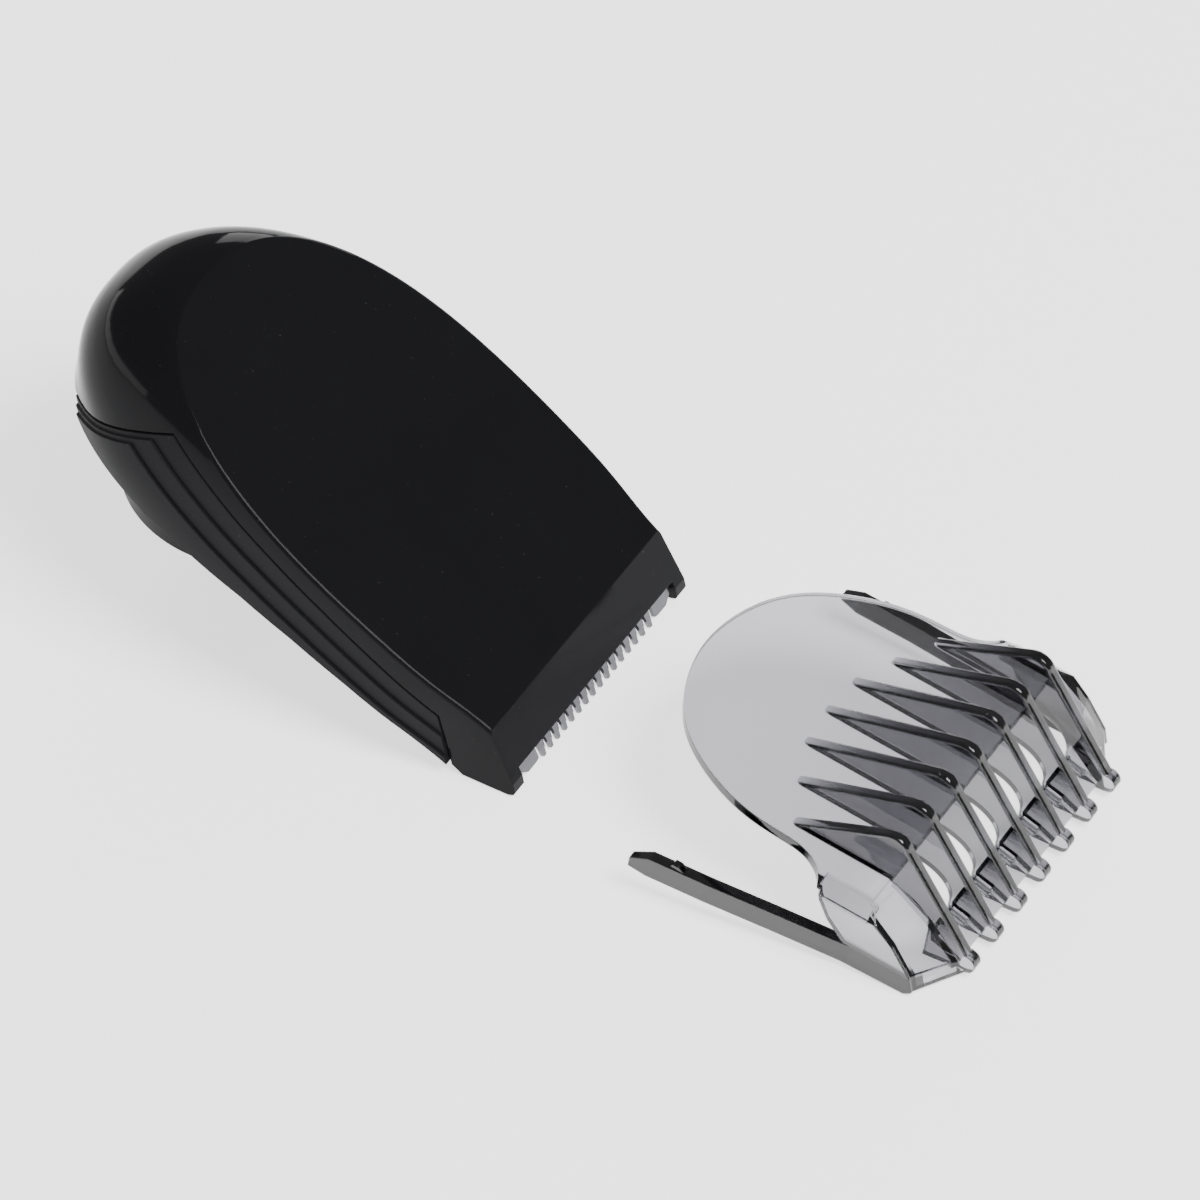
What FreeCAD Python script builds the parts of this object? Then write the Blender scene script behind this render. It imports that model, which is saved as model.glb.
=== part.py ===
import FreeCAD, Part
import math
import os
import Sketcher
from FreeCAD import Placement, Rotation, Vector

# Click-on hair trimmer head with its guide comb, in millimetres.
# Row frame: +X towards the cutting edge, +Y to the left, +Z up. The origin is on the axis of the
# coupling plug, at its bottom face, where the head stands. The head's own frame has its origin at
# the middle of the top face's front edge, with the top face as its XY plane; it leans nose-down.

doc = FreeCAD.newDocument("trimmer_head")
sheet = doc.addObject("Spreadsheet::Sheet", "Dimensions")

DIMENSIONS = {
    "HeadPitch": 33.53, "HeadX": 38.9, "HeadZ": 8.33,
    "CombPitch": 9.19, "CombX": 70.1, "CombZ": 13.06,
    "BodyHalfWidth": 19.65, "WidestX": -22.0, "FrontHalfWidth": 17.8, "BackX": -55.5, "BackPower": 2.4,
    "WallThickness": 1.6, "RimRadius": 0.5, "CoverThickness": 1.8, "PocketDepth": 0.8, "BandStep": 0.3,
    "BevelLength": 6.15, "BevelDrop": 3.67, "BladeHalfWidth": 16.0, "ToothPitch": 1.5, "ToothCount": 16,
    "BladePitch": 34.0, "GuardThickness": 0.5, "GuardLength": 5.6, "CutterThickness": 0.4, "CutterHalfWidth": 12.75,
    "TipX": 6.95, "TipZ": -5.0, "CutterStroke": 0.75,
    "FlangeRadius": 16.4, "FlangeBottom": 13.2, "FlangeThickness": 3.0, "NeckRadius": 14.0, "NeckHeight": 16.0,
    "PlugRadius": 7.0, "PlugShoulderRadius": 7.9, "PlugBore": 4.4, "PlugGripLength": 7.0,
    "SnapGrooveRadius": 6.2, "SnapGrooveLength": 1.5,
    "ShaftRadius": 1.25, "RunningFit": 0.05, "BushRadius": 2.6, "BushLength": 3.0, "LowerBushZ": 14.0,
    "UpperBushZ": 20.0, "HubRadius": 5.0, "SocketRadius": 3.2, "SocketBottom": 1.0, "SocketLength": 6.5,
    "HexFlat": 3.6, "ShaftGrip": 1.5, "CamRadius": 2.3, "CamBottom": 24.4, "CamThickness": 1.4, "Eccentricity": 0.8,
    "BallRadius": 1.3, "BallZ": 27.5,
    "LeverPivotX": -20.0, "LeverMidZ": -5.5, "LeverThickness": 1.2, "LeverHalfWidth": 2.6,
    "ForkSlotHalf": 3.2, "ForkHalfWidth": 4.9, "ForkBackX": -46.5, "ForkCrotchX": -36.5,
    "PinRadius": 1.25, "LeverBushRadius": 2.2,
    "PlateThickness": 1.2, "FinPitch": 5.1, "FinCount": 7, "FinThickness": 1.4, "CrestRadius": 0.4, "FinKneeX": 17.34,
    "FinKneeZ": 7.11, "FinTipX": 28.75, "FinTipZ": -6.1, "ArmThickness": 1.3, "ArmHeight": 2.9,
}
for row, (alias, number) in enumerate(DIMENSIONS.items(), start=1):
    sheet.set(f"A{row}", alias)
    sheet.set(f"B{row}", str(number))
    sheet.setAlias(f"B{row}", alias)
doc.recompute()


def cell(alias):
    """The value of one driving dimension."""
    return float(sheet.get(alias))


def value_of(expression):
    """The number that an expression of driving dimensions gives."""
    probe = doc.getObject("Probe") or doc.addObject("Part::Box", "Probe")
    probe.setExpression("Placement.Base.x", expression)
    doc.recompute([probe])
    return float(probe.Placement.Base.x)


def bound(expression):
    """An expression written with bare aliases, with each alias read from the sheet."""
    words = []
    for token in expression.replace("(", " ( ").replace(")", " ) ").split():
        words.append(f"<<Dimensions>>.{token}" if token in DIMENSIONS else token)
    return " ".join(words)


sheet.Label = "Dimensions"

HEAD = Placement(Vector(cell("HeadX"), 0, cell("HeadZ")), Rotation(Vector(0, 1, 0), cell("HeadPitch")))
COMB = Placement(Vector(cell("CombX"), 0, cell("CombZ")), Rotation(Vector(0, 1, 0), cell("CombPitch")))
ROW = Placement()

subparts = []


def keep(thing, label, placement):
    """Name one finished sub-part, place it and put it on the list of pieces to write."""
    thing.Label = label
    thing.Placement = placement
    subparts.append(thing)
    return thing


def feature(label, shape, placement):
    """A sub-part whose shape is made with Part functions, because no sketch or primitive fits it."""
    thing = doc.addObject("Part::Feature", label)
    thing.Shape = shape
    return keep(thing, label, placement)


# ---------------------------------------------------------------- sketched bodies


def origin_plane(body, role):
    """One origin plane of a body, such as XY_Plane."""
    return next(plane for plane in body.Origin.OriginFeatures if plane.Role == role)


def outline_sketch(body, name, role, corners):
    """A closed outline whose corners are each tied to the sheet by a distance along X and along Y."""
    sketch = body.newObject("Sketcher::SketchObject", name)
    sketch.AttachmentSupport = [(origin_plane(body, role), "")]
    sketch.MapMode = "FlatFace"
    places = [Vector(value_of(bound(across)), value_of(bound(along)), 0) for across, along in corners]
    for index, place in enumerate(places):
        sketch.addGeometry(Part.LineSegment(place, places[(index + 1) % len(places)]), False)
    for index in range(len(places)):
        following = (index + 1) % len(places)
        sketch.addConstraint(Sketcher.Constraint("Coincident", index, 2, following, 1))
    for index, (place, corner) in enumerate(zip(places, corners)):
        for kind, number, expression in (("DistanceX", place.x, corner[0]), ("DistanceY", place.y, corner[1])):
            if abs(number) < 1e-9:
                on_axis = -2 if kind == "DistanceX" else -1
                sketch.addConstraint(Sketcher.Constraint("PointOnObject", index, 1, on_axis))
                continue
            ends = (-1, 1, index, 1) if number > 0 else (index, 1, -1, 1)
            tie = sketch.addConstraint(Sketcher.Constraint(kind, *ends, abs(number)))
            text = bound(expression) if number > 0 else f"-( {bound(expression)} )"
            sketch.setExpression(f"Constraints[{tie}]", text)
    return sketch


def turned(name, corners):
    """A body turned about its Z axis from an outline of (radius, height) corners."""
    body = doc.addObject("PartDesign::Body", name)
    sketch = outline_sketch(body, f"{name}_section", "XZ_Plane", corners)
    turn = body.newObject("PartDesign::Revolution", f"{name}_turn")
    turn.Profile = sketch
    turn.ReferenceAxis = (sketch, ["V_Axis"])
    turn.Angle = 360
    doc.recompute()
    return body


def turned_part(label, corners, placement):
    """A sub-part that is one turned body."""
    return keep(turned(label, corners), label, placement)


# ---------------------------------------------------------------- the casing's envelope

# Each section of the casing is a horizontal slice in the head's frame:
# its depth under the top face, how far its sides stand out, and how far its back reaches out.
SLICES = ((0.0, 0.0, 0.0), (1.2, 0.12, 1.8), (3.0, 0.25, 3.6), (6.0, 0.4, 5.4), (10.0, 0.5, 6.6),
          (14.0, 0.1, 6.4), (18.0, -1.0, 4.8), (23.0, -3.0, 2.0))
FRONT_REACH = 9.0
FACE_GAP = 0.05


def half_width(along, flare, reach):
    """Half the casing's width at a place along its length."""
    widest, widest_x = cell("BodyHalfWidth") + flare, cell("WidestX")
    if along >= widest_x:
        fall = cell("BodyHalfWidth") - cell("FrontHalfWidth")
        share = min(1.0, (along - widest_x) / -widest_x)
        return widest - fall * share ** 2
    power = cell("BackPower")
    share = min(1.0, (widest_x - along) / (widest_x - cell("BackX") + reach))
    return widest * (1 - share ** power) ** (1 / power)


def slice_wire(depth, flare, reach):
    """One slice of the casing: a smooth curve round the back and sides, closed by the flat front."""
    back = cell("BackX") - reach
    widest_x = cell("WidestX")
    turns = 9
    stations = [widest_x + (back - widest_x) * math.sin(math.pi / 2 * step / turns) for step in range(turns + 1)]
    front = [FRONT_REACH, 4.5, 0.0, -7.5, -15.0]
    side = [(x, half_width(x, flare, reach)) for x in front + stations[:-1]]
    left = [Vector(x, y, -depth) for x, y in side]
    right = [Vector(x, -y, -depth) for x, y in reversed(side)]
    curve = Part.BSplineCurve()
    curve.interpolate(left + [Vector(back, 0, -depth)] + right)
    closing = Part.LineSegment(right[-1], left[0])
    return Part.Wire([curve.toShape(), closing.toShape()])


def envelope(outset):
    """The casing's outer form before it is trimmed, moved outwards by outset on its sides and back."""
    wires = [slice_wire(depth, flare + outset, reach + outset) for depth, flare, reach in SLICES]
    return Part.makeLoft(wires, True)


def side_prism(corners, half=30.0):
    """A prism across the casing with an outline drawn in the XZ plane."""
    points = [Vector(x, -half, z) for x, z in corners]
    wire = Part.makePolygon(points + [points[0]])
    return Part.Face(wire).extrude(Vector(0, 2 * half, 0))


# The underside of the casing, from its front foot to its back, as (x, z) in the head's frame.
UNDERSIDE = ((1.8, -8.6), (-6.0, -8.35), (-14.0, -8.6), (-22.0, -9.2), (-29.0, -10.2), (-36.0, -11.9),
             (-43.0, -14.2), (-50.0, -16.9), (-57.0, -19.6), (-70.0, -24.0))


def underside_points(lift):
    """The underside's line, moved up by lift."""
    return [(x, z + lift) for x, z in UNDERSIDE]


def body_profile(top, bevel, lift, nose):
    """The casing's outline seen from the side."""
    end_x, end_z = cell("BevelLength") - bevel * 0.5, -cell("BevelDrop") - bevel
    return [(-bevel * 0.3, top), (end_x, end_z)] + nose + underside_points(lift) + [(-70.0, top)]


NOSE = [(7.0, -4.55), (7.05, -4.9), (6.6, -5.5)]
OUTER = envelope(0.0)
outer_form = OUTER.common(side_prism(body_profile(0.0, 0.0, 0.0, NOSE)))
top_face = max(outer_form.Faces, key=lambda face: face.CenterOfMass.z)
outer_form = outer_form.makeFillet(cell("RimRadius"), top_face.Edges)

# The blade's own frame: its origin is the line of the guard's tooth tips, X runs back under the
# bevel and Z out of the guard.
BLADE_IN_HEAD = Placement(Vector(cell("TipX"), 0, cell("TipZ")), Rotation(Vector(0, 1, 0), cell("BladePitch")))
BLADE = HEAD.multiply(BLADE_IN_HEAD)


def box(x0, x1, y0, y1, z0, z1):
    """A box between two corners."""
    return Part.makeBox(x1 - x0, y1 - y0, z1 - z0, Vector(x0, y0, z0))


def placed(shape, placement):
    """A copy of a shape, moved by a placement."""
    moved = shape.copy()
    moved.Placement = placement.multiply(moved.Placement)
    return moved


# ---------------------------------------------------------------- side rails

# The stepped rails on the casing's sides: three bands, each standing out further than the one above.
RAIL_TOP = ((-4.9, -3.2), (-12.0, -2.9), (-22.0, -2.5), (-30.0, -2.4), (-40.0, -2.6), (-46.6, -2.9))
BAND_EDGES = (0.0, 2.1, 4.2)
BAND_SPREAD = 0.4
RAIL_GAP = 0.12
FRONT_SLANT = 0.95
BACK_SLANT = 0.6
RAIL_FOOT_Z = -23.0
RAIL_FRONT_FOOT_Z = -13.0


def rail_outline(drop, clearance):
    """A rail's outline from the side, from a band's upper edge to the casing's lower edge."""
    first_x, last_x = RAIL_TOP[0][0], RAIL_TOP[-1][0]
    upper = []
    for x, z in RAIL_TOP:
        share = (first_x - x) / (first_x - last_x)
        upper.append((x, z - clearance - drop * (1 + BAND_SPREAD * share)))
    front_x = first_x + drop * FRONT_SLANT - clearance
    back_x = last_x - drop * BACK_SLANT + clearance
    upper[0] = (front_x, upper[0][1])
    upper[-1] = (back_x, upper[-1][1])
    foot_x = back_x - (upper[-1][1] - RAIL_FOOT_Z) * BACK_SLANT
    front_foot_x = front_x + (upper[0][1] - RAIL_FRONT_FOOT_Z) * FRONT_SLANT
    return upper + [(foot_x, RAIL_FOOT_Z), (front_foot_x, RAIL_FRONT_FOOT_Z)]


def rail_bands(side):
    """One side's rail: its bands, cut from the casing's form and standing out by one more step each."""
    inner = envelope(RAIL_GAP - cell("PocketDepth"))
    trim = side_prism([(x, z) for x, z in underside_points(0.25)] + [(-70.0, 5.0), (8.0, 5.0), (8.0, -8.35)])
    half_space = box(-80, 20, 0, 40, -40, 5) if side > 0 else box(-80, 20, -40, 0, -40, 5)
    rail = None
    for index, drop in enumerate(BAND_EDGES):
        form = envelope(cell("BandStep") * (index + 0.4))
        band = form.common(side_prism(rail_outline(drop, RAIL_GAP)))
        rail = band if rail is None else rail.fuse(band)
    return rail.cut(inner).common(trim).common(half_space)


pocket = OUTER.cut(envelope(-cell("PocketDepth"))).common(side_prism(rail_outline(0.0, 0.0)))

# ---------------------------------------------------------------- casing

SCREW_PLACES = ((-8.0, 12.5), (-8.0, -12.5), (-34.0, 12.5), (-34.0, -12.5))
SCREW_SEATS = (-7.4, -7.4, -10.1, -10.1)
BOSS_RADIUS = 2.2
SCREW_RADIUS = 0.8
SCREW_HEAD_RADIUS = 1.5
wall = cell("WallThickness")
cover = cell("CoverThickness")
blade_half = cell("BladeHalfWidth")

inner_form = envelope(-wall).common(side_prism(
    [(-0.6, -wall), (4.6, -4.7), (9.5, -8.0), (9.5, -14.0)] + underside_points(-3.0) + [(-70.0, -wall)]))
blade_bay = placed(box(-5.9, 8.2, -blade_half - 0.2, blade_half + 0.2, -9.0, 0.05), BLADE_IN_HEAD)
blade_bay = blade_bay.fuse(box(5.3, 9.0, -blade_half - 0.2, blade_half + 0.2, -9.5, 0.0))
blade_bay = blade_bay.fuse(box(0.3, 9.0, -blade_half - 0.2, blade_half + 0.2, -9.5, -5.4))


def screw_bosses(top, bottom, radius):
    """Upright posts at the casing screws, from one height to another."""
    posts = [Part.makeCylinder(radius, top - bottom, Vector(x, y, bottom)) for x, y in SCREW_PLACES]
    return posts[0].multiFuse(posts[1:])


cover_floor = side_prism(underside_points(cover + 0.1) + [(-70.0, 6.0), (1.8, 6.0)])

top_shape = outer_form.cut(inner_form).cut(blade_bay)
posts = screw_bosses(-wall + 0.05, -13.0, BOSS_RADIUS).common(cover_floor)
top_shape = top_shape.fuse(posts).cut(pocket)
top_shape = top_shape.cut(screw_bosses(-wall - 1.0, -20.0, SCREW_RADIUS))
feature("top_shell", top_shape, HEAD)

for name, side in (("side_rail_left", 1), ("side_rail_right", -1)):
    feature(name, rail_bands(side), HEAD)

inside = envelope(-wall - 0.05)
floor_band = side_prism(underside_points(cover) + [(x, z) for x, z in reversed(UNDERSIDE)])
cover_front = box(-70.0, 0.2, -30, 30, -40, 0)
cover_shape = inside.common(floor_band).common(cover_front)
pivot_x = cell("LeverPivotX")
pivot_seat = Part.makeCylinder(3.2, 2.4, Vector(pivot_x, 0, -9.0))
cover_shape = cover_shape.fuse(pivot_seat.common(side_prism(underside_points(0.4) + [(-70, 6), (1.8, 6)])))
hub_hole = placed(Part.makeCylinder(cell("HubRadius") + 0.3, 60, Vector(0, 0, -5)), HEAD.inverse())
cover_shape = cover_shape.cut(hub_hole)
cover_shape = cover_shape.cut(screw_bosses(0, -20.0, SCREW_RADIUS))
cover_shape = cover_shape.cut(Part.makeCylinder(cell("PinRadius"), 2.6, Vector(pivot_x, 0, -8.2)))
head_seats = [Part.makeCylinder(SCREW_HEAD_RADIUS + 0.1, 20, Vector(x, y, z - 20))
              for (x, y), z in zip(SCREW_PLACES, SCREW_SEATS)]
for seat in head_seats:
    cover_shape = cover_shape.cut(seat)
feature("bottom_cover", cover_shape, HEAD)


def screw(radius, head_radius, length, head_height):
    """A pan-head screw, standing on its head along +Z."""
    head = Part.makeCylinder(head_radius, head_height, Vector(0, 0, -head_height))
    slot = box(-head_radius, head_radius, -0.2, 0.2, -head_height - 0.1, -head_height + 0.35)
    return Part.makeCylinder(radius, length).fuse(head.cut(slot))


screws = []
for (x, y), seat_z in zip(SCREW_PLACES, SCREW_SEATS):
    one = screw(SCREW_RADIUS - 0.02, SCREW_HEAD_RADIUS, -2.7 - seat_z, 0.8)
    one.Placement = Placement(Vector(x, y, seat_z), Rotation())
    screws.append(one)
feature("housing_screws", Part.makeCompound(screws), HEAD)

# ---------------------------------------------------------------- coupling

flange_rim = "FlangeThickness / 5"
flange_over = "FlangeBottom + FlangeThickness"
ring = turned("flange_ring", (
    ("HubRadius", "FlangeBottom"), (f"FlangeRadius - {flange_rim}", "FlangeBottom"),
    ("FlangeRadius", f"FlangeBottom + {flange_rim}"), ("FlangeRadius", f"{flange_over} - {flange_rim}"),
    (f"FlangeRadius - {flange_rim}", flange_over), ("NeckRadius", flange_over),
    ("NeckRadius", f"{flange_over} + NeckHeight"), ("NeckRadius - WallThickness", f"{flange_over} + NeckHeight"),
    ("NeckRadius - WallThickness", flange_over), ("HubRadius", flange_over)))
groove_over = "PlugGripLength + SnapGrooveLength"
hub_over = "UpperBushZ + BushLength"
core = turned("plug_and_hub", (
    ("PlugBore", "0"), ("PlugRadius", "0"), ("PlugRadius", "PlugGripLength"),
    ("SnapGrooveRadius", "PlugGripLength"), ("SnapGrooveRadius", groove_over),
    ("PlugShoulderRadius", groove_over), ("PlugShoulderRadius", "FlangeBottom"), ("HubRadius", "FlangeBottom"),
    ("HubRadius", hub_over), ("BushRadius", hub_over), ("BushRadius", "LowerBushZ - 2"),
    ("PlugBore", "LowerBushZ - 2")))
under_casing = [(x, z - FACE_GAP) for x, z in UNDERSIDE]
body_room = placed(side_prism(under_casing + [(-70.0, 30.0), (40.0, 30.0), (40.0, -8.7)]), HEAD)
feature("coupling_base", ring.Shape.cut(body_room).fuse(core.Shape).removeSplitter(), ROW)

radial = "ShaftRadius + RunningFit"
for name, low in (("lower_bush", "LowerBushZ"), ("upper_bush", "UpperBushZ")):
    turned_part(name, ((radial, low), ("BushRadius", low), ("BushRadius", f"{low} + BushLength"),
                  (radial, f"{low} + BushLength")), ROW)
turned_part("shaft_seal", ((radial, "UpperBushZ + BushLength"), ("HubRadius - 1.1", "UpperBushZ + BushLength"),
                      ("HubRadius - 1.1", "UpperBushZ + BushLength + 0.8"),
                      (radial, "UpperBushZ + BushLength + 0.8")), ROW)
turned_part("thrust_washer", ((radial, "LowerBushZ - 2.5"), ("PlugBore - 0.4", "LowerBushZ - 2.5"),
                         ("PlugBore - 0.4", "LowerBushZ - 2"), (radial, "LowerBushZ - 2")), ROW)

# ---------------------------------------------------------------- drive

shaft_foot = "SocketBottom + SocketLength - ShaftGrip"
turned_part("drive_shaft", (("0", shaft_foot), ("ShaftRadius", shaft_foot), ("ShaftRadius", "CamBottom"),
                            ("0", "CamBottom")), ROW)

socket = turned("drive_socket", (
    ("0", "SocketBottom"), ("SocketRadius", "SocketBottom"), ("SocketRadius", "SocketBottom + SocketLength"),
    ("ShaftRadius", "SocketBottom + SocketLength"), ("ShaftRadius", shaft_foot), ("0", shaft_foot)))
solid_volume = socket.Shape.Volume
flat = "HexFlat / 2"
point = "HexFlat / 1.7320508"
hexagon = outline_sketch(socket, "socket_hexagon", "XY_Plane", (
    (point, "0"), (f"{point} / 2", flat), (f"0 - {point} / 2", flat),
    (f"0 - {point}", "0"), (f"0 - {point} / 2", f"0 - {flat}"), (f"{point} / 2", f"0 - {flat}")))
hexagon_cut = socket.newObject("PartDesign::Pocket", "socket_cut")
hexagon_cut.Profile = hexagon
hexagon_cut.setExpression("Length", bound("SocketBottom + SocketLength - ShaftGrip - 0.5"))
hexagon_cut.Reversed = True
doc.recompute()
if socket.Shape.Volume > solid_volume - 10:
    raise RuntimeError("the hexagonal socket wasn't cut")
keep(socket, "drive_socket", ROW)

cam_top = cell("CamBottom") + cell("CamThickness")
throw = cell("Eccentricity")
cam = Part.makeCylinder(cell("CamRadius"), cell("CamThickness"), Vector(0, 0, cell("CamBottom")))
stem = Part.makeCylinder(0.7, cell("BallZ") - cam_top + 0.2, Vector(throw, 0, cam_top - 0.2))
ball = Part.makeSphere(cell("BallRadius"), Vector(throw, 0, cell("BallZ")))
feature("eccentric_cam", cam.multiFuse([stem, ball]), ROW)

# ---------------------------------------------------------------- drive lever

lever_low = cell("LeverMidZ") - cell("LeverThickness") / 2
lever_high = cell("LeverMidZ") + cell("LeverThickness") / 2
fork = cell("ForkHalfWidth")
slot = cell("ForkSlotHalf")
back, crotch = cell("ForkBackX"), cell("ForkCrotchX")
TONGUE_HALF = 0.8
NECK_HALF = 1.2
LEVER_FRONT = -1.4
lever_outline = [(back, fork), (crotch + 1.0, fork), (pivot_x - 5, cell("LeverHalfWidth")),
                 (pivot_x + 4, cell("LeverHalfWidth") + 0.6), (LEVER_FRONT - 3.0, NECK_HALF), (LEVER_FRONT, NECK_HALF)]
mirrored = [(x, -y) for x, y in reversed(lever_outline)]
crotch_cut = [(back, -slot), (crotch - 1.5, -slot), (crotch, -slot + 1.5), (crotch, slot - 1.5),
              (crotch - 1.5, slot), (back, slot)]
plan = [Vector(x, y, lever_low) for x, y in lever_outline + mirrored + crotch_cut]
lever = Part.Face(Part.makePolygon(plan + [plan[0]])).extrude(Vector(0, 0, cell("LeverThickness")))
lever = lever.fuse(box(LEVER_FRONT - 1.2, LEVER_FRONT, -NECK_HALF, NECK_HALF, lever_low, -3.2))
lever = lever.fuse(box(LEVER_FRONT - 0.6, 2.4, -TONGUE_HALF, TONGUE_HALF, -3.95, -3.2))
lever = lever.cut(Part.makeCylinder(cell("LeverBushRadius"), 10, Vector(pivot_x, 0, -10)))
feature("drive_lever", lever, HEAD)

pivot_place = HEAD.multiply(Placement(Vector(pivot_x, 0, 0), Rotation()))
turned_part("lever_bush", (("PinRadius + RunningFit", "LeverMidZ - 1"), ("LeverBushRadius", "LeverMidZ - 1"),
                      ("LeverBushRadius", "LeverMidZ + 1"), ("PinRadius + RunningFit", "LeverMidZ + 1")), pivot_place)
turned_part("lever_pivot_pin", (("0", "-8.2"), ("PinRadius", "-8.2"), ("PinRadius", "LeverMidZ + 1.9"),
                           ("0", "LeverMidZ + 1.9")), pivot_place)
turned_part("pivot_clip", (("PinRadius", "LeverMidZ + 1.1"), ("PinRadius + 1.2", "LeverMidZ + 1.1"),
                      ("PinRadius + 1.2", "LeverMidZ + 1.5"), ("PinRadius", "LeverMidZ + 1.5")), pivot_place)

# ---------------------------------------------------------------- blades, in the blade's frame
# X runs forward out of the head here, so distances back from the tooth tips are negative.

pitch = cell("ToothPitch")
count = int(cell("ToothCount"))
TOOTH_LENGTH = 1.9
TIP_HALF = 0.22
ROOT_HALF = 0.52


def tooth_row(teeth, length, tip_half, root_half, thickness, top):
    """A row of tapered teeth, their roots at -length and their tips at 0."""
    row = []
    for index in range(teeth):
        y = (index - (teeth - 1) / 2) * pitch
        corners = [(0.0, y - tip_half), (0.0, y + tip_half), (-length, y + root_half), (-length - 0.3, y + root_half),
                   (-length - 0.3, y - root_half), (-length, y - root_half)]
        points = [Vector(a, b, top - thickness) for a, b in corners]
        row.append(Part.Face(Part.makePolygon(points + [points[0]])).extrude(Vector(0, 0, thickness)))
    return row


guard_thick = cell("GuardThickness")
guard_long = cell("GuardLength")
guard = box(-guard_long, -TOOTH_LENGTH, -blade_half, blade_half, -guard_thick, 0)
guard = guard.multiFuse(tooth_row(count, TOOTH_LENGTH, TIP_HALF, ROOT_HALF, guard_thick, 0))
END_LAND = 12.3
for side in (1, -1):
    land = [Vector(-TOOTH_LENGTH - 0.1, side * END_LAND, -guard_thick), Vector(-0.5, side * END_LAND, -guard_thick),
            Vector(-0.35, side * (END_LAND + 0.5), -guard_thick), Vector(-0.35, side * (blade_half - 1.4), -guard_thick),
            Vector(-1.3, side * blade_half, -guard_thick), Vector(-TOOTH_LENGTH - 0.1, side * blade_half, -guard_thick)]
    guard = guard.fuse(Part.Face(Part.makePolygon(land + [land[0]])).extrude(Vector(0, 0, guard_thick)))
BLADE_SCREW_X = -4.6
BLADE_SCREW_Y = 15.1
for side in (1, -1):
    guard = guard.cut(Part.makeCylinder(0.5, 4, Vector(BLADE_SCREW_X, side * BLADE_SCREW_Y, -2)))
    guard = guard.cut(Part.makeCylinder(0.85, 1, Vector(BLADE_SCREW_X, side * BLADE_SCREW_Y, -0.35)))
feature("guard_blade", guard, BLADE)

cutter_top = -guard_thick - 0.03
cutter_thick = cell("CutterThickness")
cutter_half = cell("CutterHalfWidth")
CUTTER_SETBACK = 0.45
cutter = box(-5.4, -CUTTER_SETBACK - TOOTH_LENGTH, -cutter_half, cutter_half, cutter_top - cutter_thick, cutter_top)
cutter_teeth = tooth_row(count - 1, TOOTH_LENGTH, TIP_HALF, ROOT_HALF, cutter_thick, cutter_top)
for tooth in cutter_teeth:
    tooth.translate(Vector(-CUTTER_SETBACK, 0, 0))
feature("cutter_blade", cutter.multiFuse(cutter_teeth), BLADE)

carrier_top = cutter_top - cutter_thick
CARRIER_HALF = 12.2
carrier = box(-5.9, -2.1, -CARRIER_HALF, CARRIER_HALF, carrier_top - 1.05, carrier_top)
carrier = carrier.cut(box(-7.0, -3.2, -TONGUE_HALF - 0.12, TONGUE_HALF + 0.12, -4.0, 0.0))
for side in (1, -1):
    carrier = carrier.cut(box(-5.0, -3.0, side * 7.0 - 3.0, side * 7.0 + 3.0, -4.0, carrier_top - 0.55))
feature("cutter_carrier", carrier, BLADE)

spring_top = carrier_top - 1.05 - 0.06
spring = box(-4.9, -3.7, -1.6, 1.6, -2.95, -2.75)
for side in (1, -1):
    limb = [Vector(-4.9, side * 1.5, -2.95), Vector(-4.9, side * 1.5, -2.75), Vector(-4.9, side * 8.0, spring_top),
            Vector(-4.9, side * 10.0, spring_top), Vector(-4.9, side * 10.0, spring_top - 0.2),
            Vector(-4.9, side * 8.2, spring_top - 0.2)]
    spring = spring.fuse(Part.Face(Part.makePolygon(limb + [limb[0]])).extrude(Vector(1.2, 0, 0)))
feature("cutter_spring", spring, BLADE)

HOLDER = ((3.3, -6.25), (1.9, -8.1), (0.4, -8.3), (0.4, -6.9), (-0.2, -5.3), (0.55, -4.25))
points = [Vector(x, -blade_half, z) for x, z in HOLDER]
holder = Part.Face(Part.makePolygon(points + [points[0]])).extrude(Vector(0, 2 * blade_half, 0))
holder = placed(holder, BLADE_IN_HEAD.inverse())
for side in (1, -1):
    low_y, high_y = sorted((side * 14.0, side * blade_half))
    holder = holder.fuse(box(-guard_long, -2.3, low_y, high_y, -3.4, -guard_thick))
    holder = holder.cut(Part.makeCylinder(0.5, 4, Vector(BLADE_SCREW_X, side * BLADE_SCREW_Y, -3.5)))
feature("blade_holder", holder, BLADE)

blade_screw_pair = []
for side in (1, -1):
    one = screw(0.48, 0.8, 2.9, 0.35)
    one.Placement = Placement(Vector(BLADE_SCREW_X, side * BLADE_SCREW_Y, -0.35), Rotation(Vector(1, 0, 0), 180))
    blade_screw_pair.append(one)

seal = box(-3.9, -2.9, -14.5, 14.5, -6.58, -wall - 0.02)
seal = seal.cut(box(-5, -1, -2.4, 2.4, -6.4, -4.6))
feature("hair_seal", seal, HEAD)

# ---------------------------------------------------------------- guide comb, in its own frame

PLATE_HALF = ((-14.9, 0.0), (-14.5, 3.6), (-13.0, 7.9), (-10.5, 11.5), (-6.9, 14.3), (-3.0, 16.2), (1.0, 17.3),
              (5.0, 17.65), (8.0, 18.0), (10.0, 19.0), (11.5, 20.9))
PLATE_FRONT = 17.6
SIDE_Y = 21.4
plate_thick = cell("PlateThickness")
arm_thick = cell("ArmThickness")


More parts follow.
